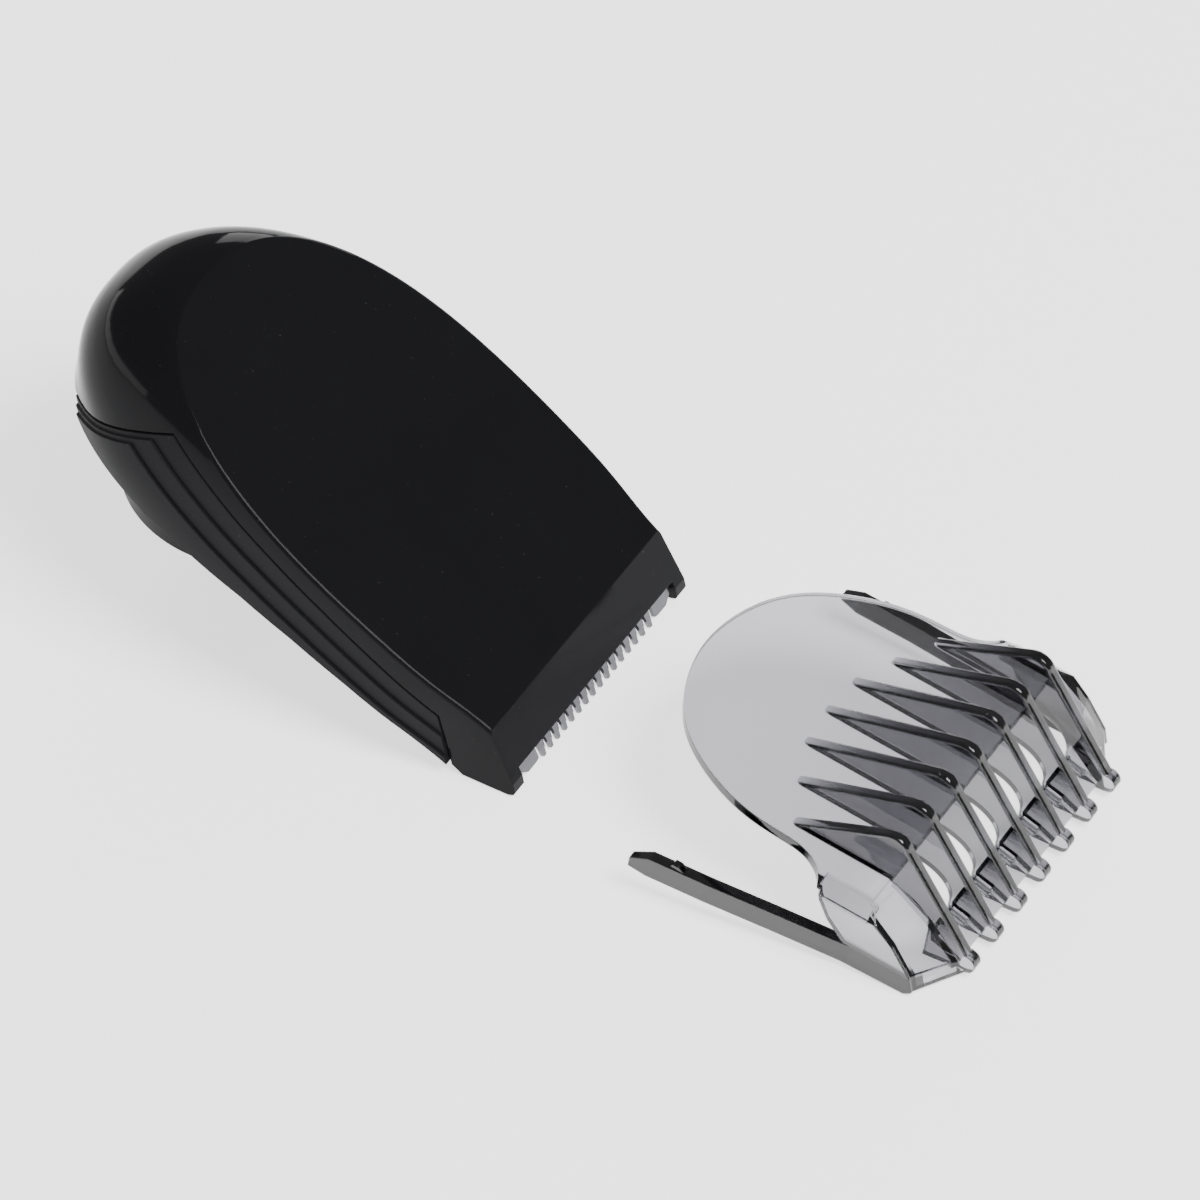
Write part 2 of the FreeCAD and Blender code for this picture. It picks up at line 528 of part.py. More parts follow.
def comb_plate():
    """The comb's flat plate, round at the back and as wide as the side walls at the front."""
    curve = Part.BSplineCurve()
    left = [Vector(x, y, 0) for x, y in reversed(PLATE_HALF[1:])]
    right = [Vector(x, -y, 0) for x, y in PLATE_HALF[1:]]
    curve.interpolate(left + [Vector(PLATE_HALF[0][0], 0, 0)] + right)
    corners = [right[-1], Vector(PLATE_FRONT, -SIDE_Y, 0), Vector(PLATE_FRONT, SIDE_Y, 0), left[0]]
    edges = [curve.toShape()] + [Part.LineSegment(a, b).toShape() for a, b in zip(corners, corners[1:])]
    return Part.Face(Part.Wire(edges)).extrude(Vector(0, 0, -plate_thick))


ROOT_SETBACK = {0: 0.0, 1: 0.43, 2: 2.56, 3: 5.1}
FIN_BOTTOM = ((28.3, -7.75), (22.9, -8.6), (22.8, -5.2))
INNER_ARC = ((22.4, -3.4), (21.3, -2.2), (19.8, -1.5), (17.6, -1.2))


def along_crest(edge, stations):
    """Whether an edge runs lengthwise between two neighbouring stations of a fin's crest."""
    if len(edge.Vertexes) < 2:
        return False
    ends = sorted((round(corner.X, 3), round(corner.Z, 3)) for corner in edge.Vertexes)
    places = [(round(point.x, 3), round(point.z, 3)) for point in stations]
    return any(ends == sorted(pair) for pair in zip(places, places[1:]))


def comb_fin(index):
    """One fin: it rises from the plate to a knee and falls to a rounded tip in front of the blade."""
    y = index * cell("FinPitch")
    thick = cell("FinThickness")
    knee = Vector(cell("FinKneeX"), y, cell("FinKneeZ"))
    tip = Vector(cell("FinTipX"), y, cell("FinTipZ"))
    root = Vector(ROOT_SETBACK[abs(index)], y, -0.02)
    fall = (tip - knee).normalize()
    rise = (knee - root).normalize()
    before_knee = knee - rise * 1.6
    after_knee = knee + fall * 2.4
    over_knee = (before_knee + after_knee) * 0.5 + (knee - (before_knee + after_knee) * 0.5) * 0.55
    above_tip = tip - fall * 1.0
    round_tip = Vector(29.15, y, -7.05)
    edges = [Part.LineSegment(root, before_knee), Part.Arc(before_knee, over_knee, after_knee),
             Part.LineSegment(after_knee, above_tip)]
    low = [Vector(x, y, z) for x, z in FIN_BOTTOM]
    edges += [Part.Arc(above_tip, round_tip, low[0]), Part.LineSegment(low[0], low[1]),
              Part.LineSegment(low[1], low[2])]
    arc = Part.BSplineCurve()
    arc.interpolate([low[2]] + [Vector(x, y, z) for x, z in INNER_ARC])
    last = Vector(INNER_ARC[-1][0], y, INNER_ARC[-1][1])
    under_root = Vector(root.x + 1.0, y, -plate_thick + 0.1)
    edges += [arc, Part.LineSegment(last, under_root), Part.LineSegment(under_root, root)]
    face = Part.Face(Part.Wire([edge.toShape() for edge in edges]))
    fin = face.extrude(Vector(0, thick, 0))
    fin.translate(Vector(0, -thick / 2, 0))
    crest = [edge for edge in fin.Edges if along_crest(edge, (root, before_knee, after_knee, above_tip))]
    return fin.makeFillet(cell("CrestRadius"), crest)


def across(corners, low, high):
    """A prism across the comb with an outline drawn in its XZ plane."""
    points = [Vector(x, low, z) for x, z in corners]
    return Part.Face(Part.makePolygon(points + [points[0]])).extrude(Vector(0, high - low, 0))


outer_fin = (cell("FinCount") - 1) / 2 * cell("FinPitch")
WEB = ((23.0, -5.5), (25.3, -6.0), (27.3, -6.9), (27.1, -7.9), (25.0, -7.1), (23.2, -6.6))
CHEEK_FIN = ((16.4, 0.0), (18.8, -0.3), (23.4, -2.6), (27.6, -6.6), (28.2, -8.2),
             (26.8, -8.6), (26.5, -7.3), (22.7, -3.8), (18.4, -1.5), (16.4, -1.2))
CHEEK_WALL = ((16.4, 0.0), (18.0, -0.3), (21.5, -3.3), (24.3, -6.6), (24.9, -8.6),
              (23.6, -8.9), (23.2, -7.2), (20.8, -4.1), (17.5, -1.5), (16.4, -1.2))


def comb_cheek(side):
    """The faceted corner between the outermost fin and a side wall."""
    near = [Vector(x, side * (outer_fin + 0.3), z) for x, z in CHEEK_FIN]
    far = [Vector(x, side * (SIDE_Y - 0.4), z) for x, z in CHEEK_WALL]
    wires = [Part.makePolygon(points + [points[0]]) for points in (near, far)]
    return Part.makeLoft(wires, True, True)


ARM_TIP_X = -9.1
ARM_TIP_Y = 23.2
ARM_TIP_Z = -10.1
ARM_ROOT_X = 16.0
WALL_OUTLINE = ((11.6, 0.0), (17.6, 0.0), (18.0, -0.3), (21.5, -3.3), (24.3, -6.6), (24.9, -8.6),
                (24.0, -9.3), (15.9, -9.75), (15.9, -6.6), (13.6, -4.4), (12.3, -2.2))


def comb_side(side):
    """A side wall and the arm that reaches back from its foot, splayed outwards to its tip."""
    low, high = sorted((side * (SIDE_Y - arm_thick), side * SIDE_Y))
    wall_panel = across(WALL_OUTLINE, low, high)
    half = cell("ArmHeight") / 2
    stations = ((ARM_ROOT_X + 1.0, SIDE_Y, -8.15), (8.0, 22.1, -8.75), (0.0, 22.75, -9.35), (ARM_TIP_X + 2.2, 23.1, -9.9))
    sections = []
    for x, y, z in stations:
        corners = [Vector(x, side * y, z - half), Vector(x, side * y, z + half),
                   Vector(x, side * (y - arm_thick), z + half), Vector(x, side * (y - arm_thick), z - half)]
        sections.append(Part.makePolygon(corners + [corners[0]]))
    tip = [Vector(ARM_TIP_X, side * ARM_TIP_Y, ARM_TIP_Z - 1.0), Vector(ARM_TIP_X, side * ARM_TIP_Y, ARM_TIP_Z + 0.4),
           Vector(ARM_TIP_X, side * (ARM_TIP_Y - arm_thick + 0.3), ARM_TIP_Z + 0.4),
           Vector(ARM_TIP_X, side * (ARM_TIP_Y - arm_thick + 0.3), ARM_TIP_Z - 1.0)]
    sections.append(Part.makePolygon(tip + [tip[0]]))
    arm = Part.makeLoft(sections, True, True)
    nub = across(((-4.6, -8.3), (-4.2, -7.6), (-3.4, -7.6), (-2.6, -8.3), (-2.6, -9.0), (-4.6, -9.0)),
                 *sorted((side * 21.9, side * 22.8)))
    return wall_panel.multiFuse([arm, nub])


fins = [comb_fin(index) for index in range(-3, 4)]
web = across(WEB, -outer_fin, outer_fin)
nibs = [across(((23.2, -5.6), (23.3, -4.9), (25.5, -5.45), (25.5, -6.2)), y - 0.45, y + 0.45)
        for y in [(index + 0.72) * cell("FinPitch") for index in range(-3, 3)]]
FOLD_START_Y = 19.9
FOLD_DROP = 1.5
FOLD_BACK_X = 11.6
FOLD_FRONT_X = 17.9


def fold_gusset(side):
    """The sloping inside of the fold between the plate and a side wall."""
    wall = SIDE_Y - arm_thick + 0.1
    foot = SIDE_Y - arm_thick - FOLD_DROP
    corners = [(wall, -plate_thick), (wall, -plate_thick - FOLD_DROP), (foot, -plate_thick),
               (foot, -plate_thick + 0.1), (wall, -plate_thick + 0.1)]
    points = [Vector(FOLD_BACK_X, side * y, z) for y, z in corners]
    return Part.Face(Part.makePolygon(points + [points[0]])).extrude(Vector(FOLD_FRONT_X - FOLD_BACK_X, 0, 0))


roof_half = [(30.0, -20.0), (30.0, -3.0), (SIDE_Y + 0.1, -FOLD_DROP), (FOLD_START_Y, 0.001), (FOLD_START_Y, 12.0)]
roof_line = roof_half + [(-y, z) for y, z in reversed(roof_half)]
points = [Vector(-30.0, y, z) for y, z in roof_line]
roof = Part.Face(Part.makePolygon(points + [points[0]])).extrude(Vector(70.0, 0, 0))
comb = comb_plate().multiFuse(fins + [web] + nibs + [comb_cheek(1), comb_cheek(-1), comb_side(1), comb_side(-1)])
comb = comb.fuse(fold_gusset(1)).fuse(fold_gusset(-1)).common(roof)
for index in range(-3, 4):
    tick = box(-0.15, 0.15, -1.0, 1.0, -0.15, 1.0)
    tick.Placement = Placement(Vector(16.6, index * cell("FinPitch"), 6.72), Rotation(Vector(0, 1, 0), -15))
    comb = comb.cut(tick)
feature("guide_comb", comb.removeSplitter(), COMB)
feature("blade_screws", Part.makeCompound(blade_screw_pair), BLADE)

# ---------------------------------------------------------------- check and write

probe = doc.getObject("Probe")
doc.removeObject(probe.Name)
doc.recompute()
for thing in doc.Objects:
    if "Invalid" in thing.State or "Error" in thing.State:
        raise RuntimeError(f"{thing.Label} failed: {thing.State}")
for thing in subparts:
    if thing.Shape.isNull() or not thing.Shape.isValid():
        raise RuntimeError(f"{thing.Label} has no valid shape")
os.makedirs("parts", exist_ok=True)
for thing in subparts:
    thing.Shape.exportStep(os.path.join("parts", f"{thing.Label}.step"))
    bounds = thing.Shape.BoundBox
    print(f"{thing.Label:18s} solids {len(thing.Shape.Solids)} volume {thing.Shape.Volume:9.2f} "
          f"x {bounds.XMin:7.2f} {bounds.XMax:7.2f} y {bounds.YMin:7.2f} {bounds.YMax:7.2f} "
          f"z {bounds.ZMin:7.2f} {bounds.ZMax:7.2f}")
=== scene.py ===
import math

import bpy
from bpy.props import FloatProperty, FloatVectorProperty, PointerProperty
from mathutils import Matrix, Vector


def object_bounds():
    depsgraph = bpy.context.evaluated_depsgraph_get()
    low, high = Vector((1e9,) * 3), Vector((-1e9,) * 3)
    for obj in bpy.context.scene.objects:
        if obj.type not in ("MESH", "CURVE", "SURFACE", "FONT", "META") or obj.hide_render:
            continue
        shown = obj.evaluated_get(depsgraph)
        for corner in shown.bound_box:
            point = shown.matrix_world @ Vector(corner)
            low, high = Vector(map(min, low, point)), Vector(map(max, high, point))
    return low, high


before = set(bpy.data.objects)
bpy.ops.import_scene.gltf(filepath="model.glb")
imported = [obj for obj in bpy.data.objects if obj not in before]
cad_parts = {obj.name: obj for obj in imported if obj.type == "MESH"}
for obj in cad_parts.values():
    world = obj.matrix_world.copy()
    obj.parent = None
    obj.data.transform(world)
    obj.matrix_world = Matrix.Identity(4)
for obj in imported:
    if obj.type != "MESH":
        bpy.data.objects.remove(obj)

bl_info = {
    "name": "Trimmer head and guide comb",
    "version": (1, 0, 0),
    "blender": (4, 5, 0),
    "location": "View3D > Sidebar > Trimmer",
    "description": "Finishes a click-on trimmer head and its smoke-grey guide comb",
    "category": "Object",
}

CAD_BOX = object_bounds()
MM = 0.001

# Where the comb's plate starts at rest and how far it tilts, which gives the comb's own axes.
COMB_ORIGIN = (0.0701, 0.0, 0.01306)
COMB_PITCH = math.radians(9.19)
COMB_UP = (math.sin(COMB_PITCH), 0.0, math.cos(COMB_PITCH))

# Parts of the comb, in metres along its own axes: X forward, Y outward, Z up from the plate's top.
SIDE_WALL_Y = 19.8 * MM
ARM_FADE_Z = (-6.2 * MM, -6.9 * MM)
OUTER_FIN_Y = 16.1 * MM
FIN_ROOT_Z = 0.1 * MM
KNEE_X = 17.8 * MM
WEB_FADE_Z = (-5.2 * MM, -3.6 * MM)
PLATE_MIDDLE_Z = -0.6 * MM
PLATE_HALF_THICKNESS = 0.62 * MM
PLATE_RIM_END_X = 12.5 * MM
STEEPEST_EDGE = 0.4

# What each part lets through at its surface, on top of the tint inside it; the fins' and the arms' values are
# painted shade.
PLATE_CLEAR = (0.96, 0.96, 0.975, 1.0)
FIN_PAINTED_SHADE = (0.40, 0.40, 0.415, 1.0)
ARM_PAINTED_SHADE = (0.012, 0.012, 0.013, 1.0)
DUST_GREY = (0.35, 0.35, 0.35, 1.0)

# How the finishes vary: a plastic's mottling, a metal's worked lines, and the edge a mould's tool leaves.
PLASTIC_SHADE = (0.85, 1.15)
METAL_SHADE = 0.82
METAL_GLOSS_DRIFT = 0.07
PLASTIC_EDGE = 0.12 * MM
COMB_EDGE = 0.25 * MM

# The black plastics mirror less than real ABS does, so that the pale floor leaves their sides dark.
DIM_MIRROR = 0.05

# The camera looks from this side at this point of the part, from this far away.
VIEW_SIDE = (0.3565, -0.5964, 0.7192)
VIEW_AIM = (0.0353, 0.01132, 0.0009)
VIEW_DISTANCE = 1.2784


def linear(code):
    """An sRGB hex colour as linear red, green and blue."""
    parts = [int(code[place:place + 2], 16) / 255 for place in (1, 3, 5)]
    return tuple(part / 12.92 if part <= 0.04045 else ((part + 0.055) / 1.055) ** 2.4 for part in parts)


def add_node(tree, kind, settings=None, inputs=None):
    """Add one shader node; an input that is a socket is linked, any other is set."""
    node = tree.nodes.new(kind)
    for name, value in (settings or {}).items():
        setattr(node, name, value)
    for name, value in (inputs or {}).items():
        if isinstance(value, bpy.types.NodeSocket):
            tree.links.new(value, node.inputs[name])
        else:
            node.inputs[name].default_value = value
    return node


def blank_material(name):
    """A material with only its output, and the tree to build it in."""
    material = bpy.data.materials.new(name)
    material.use_nodes = True
    material.node_tree.nodes.clear()
    return material, material.node_tree


def close_material(tree, shader, volume=None):
    """Join the shader, and a volume if there is one, to the material's output."""
    inputs = {"Surface": shader.outputs["BSDF"]}
    if volume:
        inputs["Volume"] = volume.outputs["Volume"]
    add_node(tree, "ShaderNodeOutputMaterial", inputs=inputs)


def per_metre(millimetres):
    """The noise scale whose features are about this many millimetres apart."""
    return 1.0 / (millimetres * MM)


def moulded_plastic(name, colour, roughness, grain_mm, grain_depth_mm, drift=0.06, ior=1.53, specular=0.5):
    """Injection-moulded plastic: mould grain as bump, edges rounded by the tool, and gloss that drifts a
    little over the surface with a few grains of dust."""
    material, tree = blank_material(name)
    place = add_node(tree, "ShaderNodeTexCoord").outputs["Object"]
    drift_noise = add_node(tree, "ShaderNodeTexNoise", inputs={
        "Vector": place, "Scale": per_metre(14.0), "Detail": 3.0}).outputs["Fac"]
    gloss = add_node(tree, "ShaderNodeMapRange", inputs={
        "Value": drift_noise, "From Min": 0.3, "From Max": 0.7,
        "To Min": roughness - drift / 2, "To Max": roughness + drift / 2}).outputs["Result"]
    tint = add_node(tree, "ShaderNodeMix", {"data_type": "RGBA"}, {
        "Factor": drift_noise, 6: (*[part * PLASTIC_SHADE[0] for part in colour], 1.0),
        7: (*[min(1.0, part * PLASTIC_SHADE[1]) for part in colour], 1.0)})
    grain = add_node(tree, "ShaderNodeTexNoise", inputs={
        "Vector": place, "Scale": per_metre(grain_mm), "Detail": 2.0}).outputs["Fac"]
    rounded = add_node(tree, "ShaderNodeBevel", {"samples": 4}, {"Radius": PLASTIC_EDGE}).outputs["Normal"]
    bump = add_node(tree, "ShaderNodeBump", inputs={
        "Height": grain, "Distance": grain_depth_mm * MM, "Strength": 1.0,
        "Normal": rounded}).outputs["Normal"]
    specks = add_node(tree, "ShaderNodeTexNoise", inputs={
        "Vector": place, "Scale": per_metre(0.35), "Detail": 1.0}).outputs["Fac"]
    dust = add_node(tree, "ShaderNodeMapRange", inputs={
        "Value": specks, "From Min": 0.76, "From Max": 0.84, "To Min": 0.0, "To Max": 0.1}).outputs["Result"]
    dusty = add_node(tree, "ShaderNodeMix", {"data_type": "RGBA"}, {
        "Factor": dust, 6: tint.outputs[2], 7: DUST_GREY})
    shader = add_node(tree, "ShaderNodeBsdfPrincipled", inputs={
        "Base Color": dusty.outputs[2], "Roughness": gloss, "IOR": ior, "Specular IOR Level": specular,
        "Normal": bump})
    close_material(tree, shader)
    return material


def worked_metal(name, colour, roughness, line_mm, stretch, depth_mm):
    """Metal with the fine lines that grinding or turning leaves, drawn out along one direction."""
    material, tree = blank_material(name)
    place = add_node(tree, "ShaderNodeTexCoord").outputs["Object"]
    drawn = add_node(tree, "ShaderNodeMapping", inputs={"Vector": place, "Scale": stretch}).outputs["Vector"]
    lines = add_node(tree, "ShaderNodeTexNoise", inputs={
        "Vector": drawn, "Scale": per_metre(line_mm), "Detail": 3.0}).outputs["Fac"]
    gloss = add_node(tree, "ShaderNodeMapRange", inputs={
        "Value": lines, "From Min": 0.3, "From Max": 0.7,
        "To Min": roughness - METAL_GLOSS_DRIFT, "To Max": roughness + METAL_GLOSS_DRIFT}).outputs["Result"]
    tint = add_node(tree, "ShaderNodeMix", {"data_type": "RGBA"}, {
        "Factor": lines, 6: (*[part * METAL_SHADE for part in colour], 1.0), 7: (*colour, 1.0)})
    bump = add_node(tree, "ShaderNodeBump", inputs={
        "Height": lines, "Distance": depth_mm * MM, "Strength": 1.0}).outputs["Normal"]
    shader = add_node(tree, "ShaderNodeBsdfPrincipled", inputs={
        "Base Color": tint.outputs[2], "Metallic": 1.0, "Roughness": gloss, "Normal": bump})
    close_material(tree, shader)
    return material


def smoke_polycarbonate(colour, haze, density):
    """Smoke-tinted clear polycarbonate, moulded in a polished tool: the plate stays light, and the arms,
    the fins and the plate's edge are darkened further by painted shade in their surface colour."""
    material, tree = blank_material("smoke_polycarbonate_polished")
    place = add_node(tree, "ShaderNodeTexCoord").outputs["Object"]
    flow = add_node(tree, "ShaderNodeTexNoise", inputs={
        "Vector": place, "Scale": per_metre(6.0), "Detail": 2.0}).outputs["Fac"]
    gloss = add_node(tree, "ShaderNodeMapRange", inputs={
        "Value": flow, "From Min": 0.3, "From Max": 0.7,
        "To Min": haze * 0.5, "To Max": haze * 1.5}).outputs["Result"]
    rounded = add_node(tree, "ShaderNodeBevel", {"samples": 4}, {"Radius": COMB_EDGE}).outputs["Normal"]
    bump = add_node(tree, "ShaderNodeBump", inputs={
        "Height": flow, "Distance": 0.01 * MM, "Strength": 1.0, "Normal": rounded}).outputs["Normal"]
    # The comb lies tilted, so its own axes are found first: along it, across it and up from its plate.
    level = add_node(tree, "ShaderNodeMapping", {"vector_type": "TEXTURE"}, {
        "Vector": place, "Location": COMB_ORIGIN, "Rotation": (0.0, COMB_PITCH, 0.0)}).outputs["Vector"]
    own = add_node(tree, "ShaderNodeSeparateXYZ", inputs={"Vector": level}).outputs
    outward = add_node(tree, "ShaderNodeMath", {"operation": "ABSOLUTE"}, {0: own["Y"]}).outputs["Value"]
    # Painted shade on the arms and the foot of the side walls.
    beside = add_node(tree, "ShaderNodeMath", {"operation": "GREATER_THAN"}, {
        0: outward, 1: SIDE_WALL_Y}).outputs["Value"]
    below = add_node(tree, "ShaderNodeMapRange", inputs={
        "Value": own["Z"], "From Min": ARM_FADE_Z[0], "From Max": ARM_FADE_Z[1]}).outputs["Result"]
    arm = add_node(tree, "ShaderNodeMath", {"operation": "MULTIPLY"}, {
        0: beside, 1: below}).outputs["Value"]
    # Painted shade on the fins, above the plate and in front of its knee, but not the web between their tips.
    among_fins = add_node(tree, "ShaderNodeMath", {"operation": "LESS_THAN"}, {
        0: outward, 1: OUTER_FIN_Y}).outputs["Value"]
    above = add_node(tree, "ShaderNodeMath", {"operation": "GREATER_THAN"}, {
        0: own["Z"], 1: FIN_ROOT_Z}).outputs["Value"]
    ahead = add_node(tree, "ShaderNodeMath", {"operation": "GREATER_THAN"}, {
        0: own["X"], 1: KNEE_X}).outputs["Value"]
    over_web = add_node(tree, "ShaderNodeMapRange", inputs={
        "Value": own["Z"], "From Min": WEB_FADE_Z[0], "From Max": WEB_FADE_Z[1]}).outputs["Result"]
    front = add_node(tree, "ShaderNodeMath", {"operation": "MULTIPLY"}, {
        0: ahead, 1: over_web}).outputs["Value"]
    raised = add_node(tree, "ShaderNodeMath", {"operation": "MAXIMUM"}, {
        0: above, 1: front}).outputs["Value"]
    fin = add_node(tree, "ShaderNodeMath", {"operation": "MULTIPLY"}, {
        0: among_fins, 1: raised}).outputs["Value"]
    fin_painted_shade = add_node(tree, "ShaderNodeMix", {"data_type": "RGBA"}, {
        "Factor": fin, 6: PLATE_CLEAR, 7: FIN_PAINTED_SHADE})
    # Painted shade on the plate's edge, which stands nearly square to the plate. A tinted sheet looks dark
    # there.
    facing = add_node(tree, "ShaderNodeTexCoord").outputs["Normal"]
    upright = add_node(tree, "ShaderNodeVectorMath", {"operation": "DOT_PRODUCT"}, {
        0: facing, 1: COMB_UP}).outputs["Value"]
    lean = add_node(tree, "ShaderNodeMath", {"operation": "ABSOLUTE"}, {0: upright}).outputs["Value"]
    steep = add_node(tree, "ShaderNodeMath", {"operation": "LESS_THAN"}, {
        0: lean, 1: STEEPEST_EDGE}).outputs["Value"]
    in_plate = add_node(tree, "ShaderNodeMath", {"operation": "COMPARE"}, {
        0: own["Z"], 1: PLATE_MIDDLE_Z, 2: PLATE_HALF_THICKNESS}).outputs["Value"]
    behind = add_node(tree, "ShaderNodeMath", {"operation": "LESS_THAN"}, {
        0: own["X"], 1: PLATE_RIM_END_X}).outputs["Value"]
    rim = add_node(tree, "ShaderNodeMath", {"operation": "MULTIPLY"}, {
        0: steep, 1: in_plate}).outputs["Value"]
    edge = add_node(tree, "ShaderNodeMath", {"operation": "MULTIPLY"}, {
        0: rim, 1: behind}).outputs["Value"]
    # The arms and the plate's edge take the near-black painted shade; the fins take their lighter painted
    # shade.
    dark = add_node(tree, "ShaderNodeMath", {"operation": "MAXIMUM"}, {
        0: arm, 1: edge}).outputs["Value"]
    colour_with_painted_shade = add_node(tree, "ShaderNodeMix", {"data_type": "RGBA"}, {
        "Factor": dark, 6: fin_painted_shade.outputs[2], 7: ARM_PAINTED_SHADE})
    shader = add_node(tree, "ShaderNodeBsdfPrincipled", inputs={
        "Base Color": colour_with_painted_shade.outputs[2], "Roughness": gloss, "IOR": 1.585,
        "Specular IOR Level": 0.35, "Transmission Weight": 1.0, "Normal": bump})
    tint = add_node(tree, "ShaderNodeVolumeAbsorption", inputs={"Color": (*colour, 1.0), "Density": density})
    close_material(tree, shader, tint)
    return material


def dress(node, material):
    """Give one CAD piece its finish."""
    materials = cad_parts[node].data.materials
    materials.clear()
    materials.append(material)


class TrimmerFinish(bpy.types.PropertyGroup):
    casing: FloatVectorProperty(
        name="Casing", description="Colour of the polished casing", subtype="COLOR", min=0, max=1,
        default=linear("#161618"))
    rails: FloatVectorProperty(
        name="Side rails", description="Colour of the matte stepped rails", subtype="COLOR", min=0, max=1,
        default=linear("#1B1B1D"))
    smoke: FloatVectorProperty(
        name="Comb tint", description="Tint of the clear comb", subtype="COLOR", min=0, max=1,
        default=linear("#8E8D96"))
    smoke_density: FloatProperty(
        name="Tint density", description="How fast the tint deepens, per metre", default=800.0, min=0.0)
    steel: FloatVectorProperty(
        name="Blade steel", description="Colour of the ground stainless steel", subtype="COLOR", min=0, max=1,
        default=linear("#66666A"))


class TrimmerStage(bpy.types.PropertyGroup):
    floor_size: FloatProperty(name="Floor", description="Side of the paper floor", default=6.0, unit="LENGTH")
    key_power: FloatProperty(
        name="Key light", description="Power of the soft box above", default=22.0, unit="POWER")
    back_power: FloatProperty(
        name="Back light", description="Power of the soft box behind", default=8.0, unit="POWER")
    fill_power: FloatProperty(
        name="Fill light", description="Power of the strip light beside", default=1.6, unit="POWER")
    room: FloatProperty(
        name="Room", description="Brightness of the room around the stage", default=0.3, min=0.0)
    floor_glow: FloatProperty(
        name="Floor glow", description="Light that the lit paper gives off", default=1.6, min=0.0)
    lens: FloatProperty(name="Lens", description="Focal length in millimetres", default=350.0)


class TRIMMER_OT_casing(bpy.types.Operator):
    """Finish the casing and its stepped side rails"""
    bl_idname = "trimmer.casing"
    bl_label = "Casing and rails"

    def execute(self, context):
        finish = context.scene.trimmer_finish
        # Polished injection-moulded ABS: a clear mirror with a trace of orange peel.
        gloss = moulded_plastic(
            "abs_polished_black", finish.casing, roughness=0.08, grain_mm=2.2, grain_depth_mm=0.001,
            drift=0.03, specular=DIM_MIRROR)
        dress("top_shell", gloss)
        # ABS moulded against a spark-eroded tool: an even, dull grain about 0.15 mm across.
        matte = moulded_plastic(
            "abs_spark_textured_black", finish.rails, roughness=0.46, grain_mm=0.16, grain_depth_mm=0.012,
            drift=0.08, specular=DIM_MIRROR)
        for node in ("side_rail_left", "side_rail_right"):
            dress(node, matte)
        return {"FINISHED"}


class TRIMMER_OT_underside(bpy.types.Operator):
    """Finish the cover, the coupling and the casing screws"""
    bl_idname = "trimmer.underside"
    bl_label = "Cover and coupling"

    def execute(self, context):
        finish = context.scene.trimmer_finish
        # Injection-moulded ABS from a tool left satin, so its highlights are broad and soft.
        satin = moulded_plastic(
            "abs_satin_black", finish.casing, roughness=0.34, grain_mm=0.5, grain_depth_mm=0.004,
            specular=DIM_MIRROR)
        for node in ("bottom_cover", "coupling_base"):
            dress(node, satin)
        # Zinc-plated screw steel: grey, with faint turning lines.
        plated = worked_metal(
            "steel_zinc_plated", linear("#8E9094"), roughness=0.34, line_mm=0.1, stretch=(1.0, 1.0, 6.0),
            depth_mm=0.002)
        for node in ("housing_screws", "blade_screws"):
            dress(node, plated)
        return {"FINISHED"}


class TRIMMER_OT_blades(bpy.types.Operator):
    """Finish the guard blade, the cutter and the cassette that holds them"""
    bl_idname = "trimmer.blades"
    bl_label = "Blades"

    def execute(self, context):
        finish = context.scene.trimmer_finish
        # Hardened stainless steel, ground flat: fine lines run from the root to the tips.
        ground = worked_metal(
            "stainless_steel_ground", finish.steel, roughness=0.26, line_mm=0.12, stretch=(0.15, 1.0, 0.15),
            depth_mm=0.003)
        for node in ("guard_blade", "cutter_blade"):
            dress(node, ground)
        # Glass-filled nylon, moulded: dull and faintly mottled.
        nylon = moulded_plastic(
            "nylon_glass_filled_black", linear("#19191A"), roughness=0.5, grain_mm=0.3, grain_depth_mm=0.008)
        dress("blade_holder", nylon)
        # Bent spring wire, drawn and polished.
        spring = worked_metal(
            "spring_steel_drawn", linear("#A7A7A9"), roughness=0.22, line_mm=0.1, stretch=(1.0, 0.1, 1.0),
            depth_mm=0.001)
        dress("cutter_spring", spring)
        # Moulded nitrile rubber: dark, soft and a little dusty.
        rubber = moulded_plastic(
            "nitrile_rubber_moulded", linear("#232323"), roughness=0.72, grain_mm=0.25, grain_depth_mm=0.01)
        for node in ("hair_seal", "shaft_seal"):
            dress(node, rubber)
        return {"FINISHED"}


class TRIMMER_OT_drive(bpy.types.Operator):
    """Finish the shaft, the eccentric, the lever and their bearings"""
    bl_idname = "trimmer.drive"
    bl_label = "Drive"

    def execute(self, context):
        # Acetal, moulded in its natural colour: milky white with a waxy gloss.
        acetal = moulded_plastic(
            "acetal_natural_moulded", linear("#E4E3DD"), roughness=0.36, grain_mm=0.8, grain_depth_mm=0.003,
            ior=1.48)
        for node in ("drive_socket", "eccentric_cam", "drive_lever", "cutter_carrier", "thrust_washer"):
            dress(node, acetal)
        # Turned and polished bearing steel.
        turned = worked_metal(
            "bearing_steel_turned", linear("#B4B4B7"), roughness=0.2, line_mm=0.08, stretch=(1.0, 1.0, 8.0),
            depth_mm=0.001)
        for node in ("drive_shaft", "lever_pivot_pin", "pivot_clip"):
            dress(node, turned)
        # Sintered bronze: brown-gold and slightly grainy with oil in its pores.
        bronze = worked_metal(
            "bronze_sintered", linear("#A8793E"), roughness=0.42, line_mm=0.15, stretch=(1.0, 1.0, 1.0),
            depth_mm=0.006)
        for node in ("lower_bush", "upper_bush", "lever_bush"):
            dress(node, bronze)
        return {"FINISHED"}


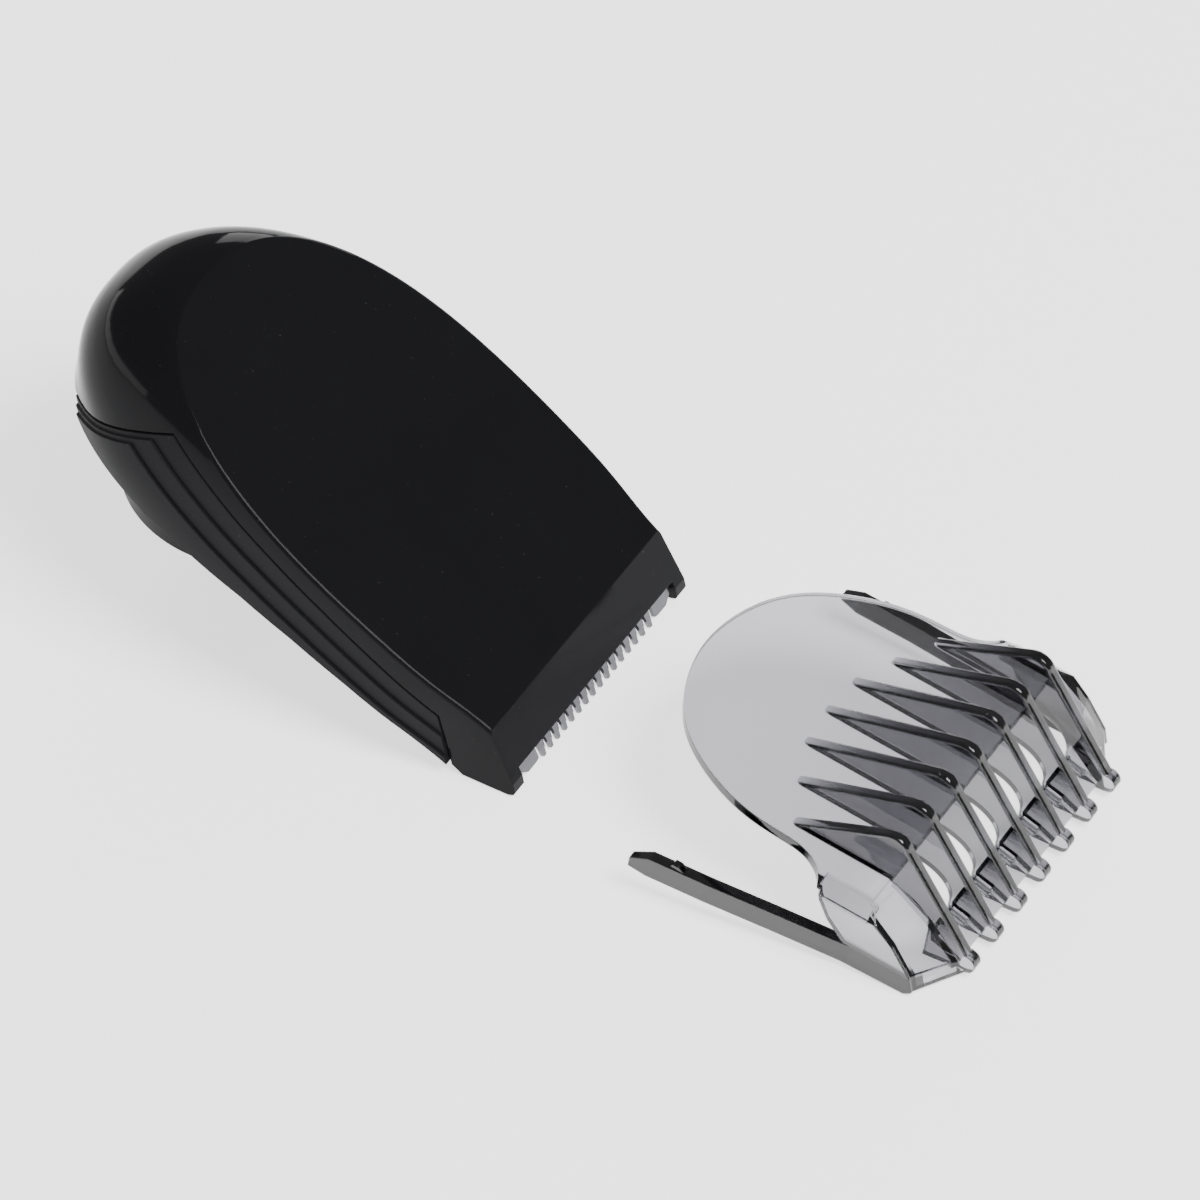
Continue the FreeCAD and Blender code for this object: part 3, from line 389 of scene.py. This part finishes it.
class TRIMMER_OT_comb(bpy.types.Operator):
    """Finish the guide comb"""
    bl_idname = "trimmer.comb"
    bl_label = "Guide comb"

    def execute(self, context):
        finish = context.scene.trimmer_finish
        # Polycarbonate from a polished tool: a grey tint deepens with thickness; arms, fins and edge get
        # painted shade.
        smoke = smoke_polycarbonate(finish.smoke, haze=0.03, density=finish.smoke_density)
        dress("guide_comb", smoke)
        return {"FINISHED"}


class TRIMMER_OT_stage(bpy.types.Operator):
    """Lay the paper floor, place the soft lights and the camera"""
    bl_idname = "trimmer.stage"
    bl_label = "Stage"

    def execute(self, context):
        stage = context.scene.trimmer_stage
        half = stage.floor_size / 2
        low = CAD_BOX[0][2]
        mesh = bpy.data.meshes.new("paper_floor")
        corners = [(-half, -half, low), (half, -half, low), (half, half, low), (-half, half, low)]
        mesh.from_pydata(corners, [], [(0, 1, 2, 3)])
        floor = bpy.data.objects.new("paper_floor", mesh)
        context.scene.collection.objects.link(floor)
        # Matte white background paper: even, with no gloss.
        material, tree = blank_material("background_paper_white")
        place = add_node(tree, "ShaderNodeTexCoord").outputs["Object"]
        fibre = add_node(tree, "ShaderNodeTexNoise", inputs={
            "Vector": place, "Scale": per_metre(3.0)}).outputs["Fac"]
        tone = add_node(tree, "ShaderNodeMix", {"data_type": "RGBA"}, {
            "Factor": fibre, 6: (0.90, 0.90, 0.90, 1.0), 7: (0.93, 0.93, 0.93, 1.0)})
        shader = add_node(tree, "ShaderNodeBsdfPrincipled", inputs={
            "Base Color": tone.outputs[2], "Roughness": 0.9, "Specular IOR Level": 0.1,
            "Emission Color": (1.0, 1.0, 1.0, 1.0), "Emission Strength": stage.floor_glow})
        close_material(tree, shader)
        floor.data.materials.append(material)

        world = bpy.data.worlds.new("studio_room")
        context.scene.world = world
        world.use_nodes = True
        backdrop = world.node_tree.nodes["Background"]
        backdrop.inputs["Color"].default_value = (1.0, 1.0, 1.0, 1.0)
        backdrop.inputs["Strength"].default_value = stage.room

        aim = Vector(VIEW_AIM)
        # Each soft box: direction from the part, distance, width, height and power.
        lights = (("soft_box_above", (0.55, -0.05, 0.83), 1.3, 0.6, 0.6, stage.key_power),
                  ("soft_box_back", (-0.20, 0.90, 0.25), 1.3, 1.0, 0.5, stage.back_power),
                  ("strip_light_side", (-0.98, -0.15, 0.07), 1.2, 1.4, 0.10, stage.fill_power))
        for name, direction, distance, width, height, power in lights:
            spot = aim + Vector(direction).normalized() * distance
            data = bpy.data.lights.new(name, "AREA")
            data.shape = "RECTANGLE"
            data.size = width
            data.size_y = height
            data.energy = power
            light = bpy.data.objects.new(name, data)
            light.location = spot
            light.rotation_euler = (aim - spot).to_track_quat("-Z", "Y").to_euler()
            context.scene.collection.objects.link(light)

        data = bpy.data.cameras.new("view")
        data.lens = stage.lens
        data.sensor_width = 36.0
        data.clip_end = 20.0
        camera = bpy.data.objects.new("view", data)
        toward = Vector(VIEW_SIDE).normalized()
        camera.location = aim + toward * VIEW_DISTANCE
        camera.rotation_euler = (-toward).to_track_quat("-Z", "Y").to_euler()
        context.scene.collection.objects.link(camera)
        context.scene.camera = camera
        return {"FINISHED"}


class TRIMMER_PT_panel(bpy.types.Panel):
    bl_idname = "TRIMMER_PT_panel"
    bl_label = "Trimmer head"
    bl_space_type = "VIEW_3D"
    bl_region_type = "UI"
    bl_category = "Trimmer"

    def draw(self, context):
        for group in (context.scene.trimmer_finish, context.scene.trimmer_stage):
            for name in group.bl_rna.properties.keys():
                if name not in ("rna_type", "name"):
                    self.layout.prop(group, name)
        for operator in OPERATORS:
            self.layout.operator(operator.bl_idname)


GROUPS = (TrimmerFinish, TrimmerStage)
OPERATORS = (TRIMMER_OT_casing, TRIMMER_OT_underside, TRIMMER_OT_blades, TRIMMER_OT_drive, TRIMMER_OT_comb,
             TRIMMER_OT_stage)
CLASSES = (*GROUPS, *OPERATORS, TRIMMER_PT_panel)


def register():
    for cls in CLASSES:
        bpy.utils.register_class(cls)
    bpy.types.Scene.trimmer_finish = PointerProperty(type=TrimmerFinish)
    bpy.types.Scene.trimmer_stage = PointerProperty(type=TrimmerStage)


def unregister():
    del bpy.types.Scene.trimmer_stage
    del bpy.types.Scene.trimmer_finish
    for cls in reversed(CLASSES):
        bpy.utils.unregister_class(cls)


def main():
    register()
    bpy.ops.trimmer.casing()
    bpy.ops.trimmer.underside()
    bpy.ops.trimmer.blades()
    bpy.ops.trimmer.drive()
    bpy.ops.trimmer.comb()
    bpy.ops.trimmer.stage()


if __name__ == "__main__":
    main()
